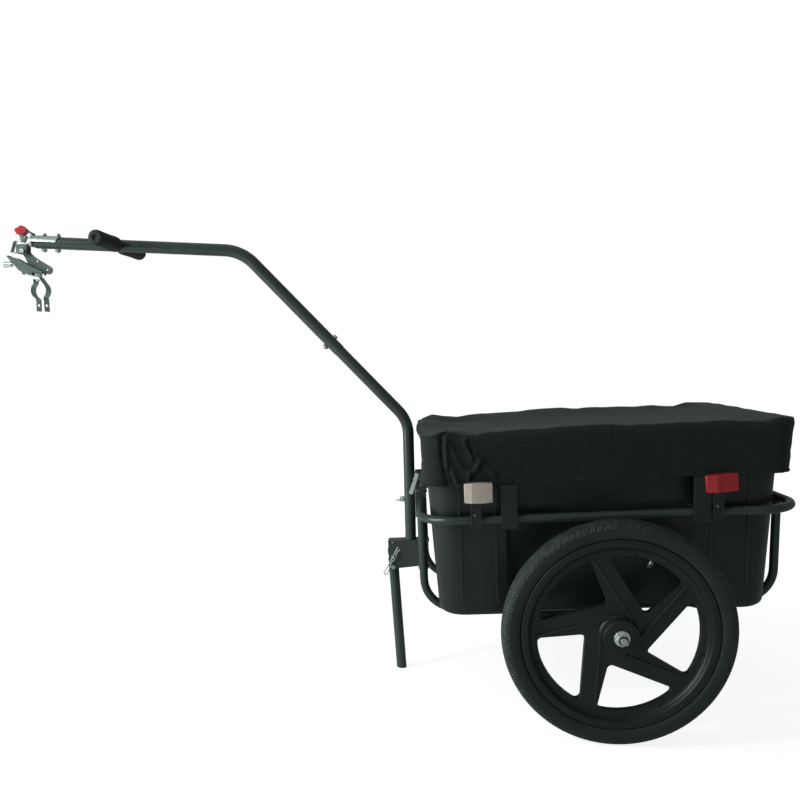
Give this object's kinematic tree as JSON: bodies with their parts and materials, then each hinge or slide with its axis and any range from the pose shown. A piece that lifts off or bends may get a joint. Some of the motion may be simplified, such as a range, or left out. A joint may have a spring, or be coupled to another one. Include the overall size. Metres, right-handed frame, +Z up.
{
  "type": "bicycle cargo trailer",
  "caption": "Bike cargo trailer: tube frame on spoked moulded wheels, lift-out tub under a cloth cover, cranked drawbar with T-handle, kickstand and seat-post hitch.",
  "frame": {"origin": "on the floor under the middle of the overall box, with the trailer parked nose down on its kickstand", "axes": "+X points back from the hitch to the tub's rear, +Y to the trailer's right, +Z up"},
  "size_m": [1.561, 0.6468, 0.8972],
  "materials": {
    "coat": "semi-gloss black powder coat",
    "plastic": "black moulded polypropylene, satin",
    "nylon": "black moulded nylon, satin",
    "tyre": "black rubber",
    "rubber": "black foam rubber",
    "fabric": "black coated woven cloth",
    "steel": "grey zinc plate",
    "dark_steel": "dark phosphated steel",
    "zinc": "zinc plate",
    "bright_zinc": "bright plate",
    "pale_lens": "pale reflector plastic",
    "red_lens": "red reflector plastic",
    "red_plastic": "red moulded plastic"
  },
  "bodies": {
    "frame": {"upper_rail": "coat", "side_tube_left": "coat", "side_tube_right": "coat", "front_crossbar": "coat", "axle_beam": "coat", "axle_arm_left": "coat", "axle_arm_right": "coat", "axle_bolt_left": "zinc", "axle_bolt_right": "zinc", "axle_nut_left": "zinc", "axle_nut_right": "zinc", "lower_drawbar": "coat", "upper_drawbar": "coat", "drawbar_bolt": "zinc", "grip_left": "rubber", "grip_right": "rubber", "lower_bracket": "coat", "stand_pivot_bolt": "zinc", "upper_bracket": "coat", "front_reflector_left": "pale_lens", "front_reflector_right": "pale_lens", "rear_reflector_left": "red_lens", "rear_reflector_right": "red_lens", "front_carrier_left": "plastic", "front_carrier_right": "plastic", "rear_carrier_left": "plastic", "rear_carrier_right": "plastic", "hitch_tongue": "zinc", "sleeve_bolt_front": "zinc", "sleeve_bolt_rear": "zinc"},
    "wheel_left": {"tyre_left": "tyre", "rim_left": "nylon", "inner_tube_left": "rubber", "hub_bush_left": "steel"},
    "wheel_right": {"tyre_right": "tyre", "rim_right": "nylon", "inner_tube_right": "rubber", "hub_bush_right": "steel"},
    "stand": {"kickstand": "coat"},
    "lock_pin": {"stand_lock_pin": "zinc", "r_clip": "zinc"},
    "latch": {"latch_lever": "zinc"},
    "spring_pin": {"pull_pin": "zinc", "pull_ring": "zinc"},
    "cargo_tub": {"tub": "plastic"},
    "rain_cover": {"cover": "fabric"},
    "release": {"release_lever": "dark_steel", "lever_knob": "red_plastic"},
    "coupling": {"king_pin": "zinc", "coupling_block": "dark_steel", "pitch_bolt": "zinc", "spring_clip": "zinc"},
    "receiver": {"receiver_yoke": "dark_steel", "receiver_shoe": "dark_steel", "front_bolt": "bright_zinc", "rear_bolt": "zinc", "swivel_bolt": "bright_zinc"},
    "post_clamp": {"clamp_half_front": "steel", "clamp_half_rear": "steel"}
  },
  "joints": [
    {"name": "wheel_spin_left", "type": "hinge", "parent": "frame", "child": "wheel_left", "pos_m": [0.45221, -0.277, 0.2], "axis": [0, 1, 0], "continuous": true},
    {"name": "wheel_spin_right", "type": "hinge", "parent": "frame", "child": "wheel_right", "pos_m": [0.45221, 0.277, 0.2], "axis": [0, 1, 0], "continuous": true},
    {"name": "stand_fold", "type": "hinge", "parent": "frame", "child": "stand", "pos_m": [0.05038, 0, 0.22297], "axis": [0, 1, 0], "range_deg": [0, 95]},
    {"name": "lock_pin_pull", "type": "slide", "parent": "frame", "child": "lock_pin", "axis": [0, -1, 0], "range_m": [0, 0.035]},
    {"name": "latch_swing", "type": "hinge", "parent": "frame", "child": "latch", "pos_m": [0.09125, -0.0168, 0.41937], "axis": [0, 1, 0], "range_deg": [0, 95]},
    {"name": "spring_pin_pull", "type": "slide", "parent": "frame", "child": "spring_pin", "axis": [-0.9962, 0, -0.0872], "range_m": [0, 0.031]},
    {"name": "tub_lift", "type": "slide", "parent": "frame", "child": "cargo_tub", "axis": [-0.0872, 0, 0.9962], "range_m": [0, 0.36]},
    {"name": "cover_lift", "type": "slide", "parent": "cargo_tub", "child": "rain_cover", "axis": [-0.0872, 0, 0.9962], "range_m": [0, 0.12]},
    {"name": "release_tilt", "type": "hinge", "parent": "frame", "child": "release", "pos_m": [-0.71586, 0, 0.88128], "axis": [0, 1, 0], "range_deg": [0, 75]},
    {"name": "coupling_turn", "type": "hinge", "parent": "frame", "child": "coupling", "pos_m": [-0.73881, 0, 0.86522], "axis": [0.015, 0, 0.9999], "range_deg": [-60, 60]},
    {"name": "receiver_pitch", "type": "hinge", "parent": "coupling", "child": "receiver", "pos_m": [-0.73399, 0, 0.84614], "axis": [0, 1, 0], "range_deg": [-25, 25]},
    {"name": "clamp_swivel", "type": "hinge", "parent": "receiver", "child": "post_clamp", "pos_m": [-0.70628, 0, 0.78692], "axis": [0.015, 0, 0.9999], "range_deg": [-79, 101]}
  ]
}
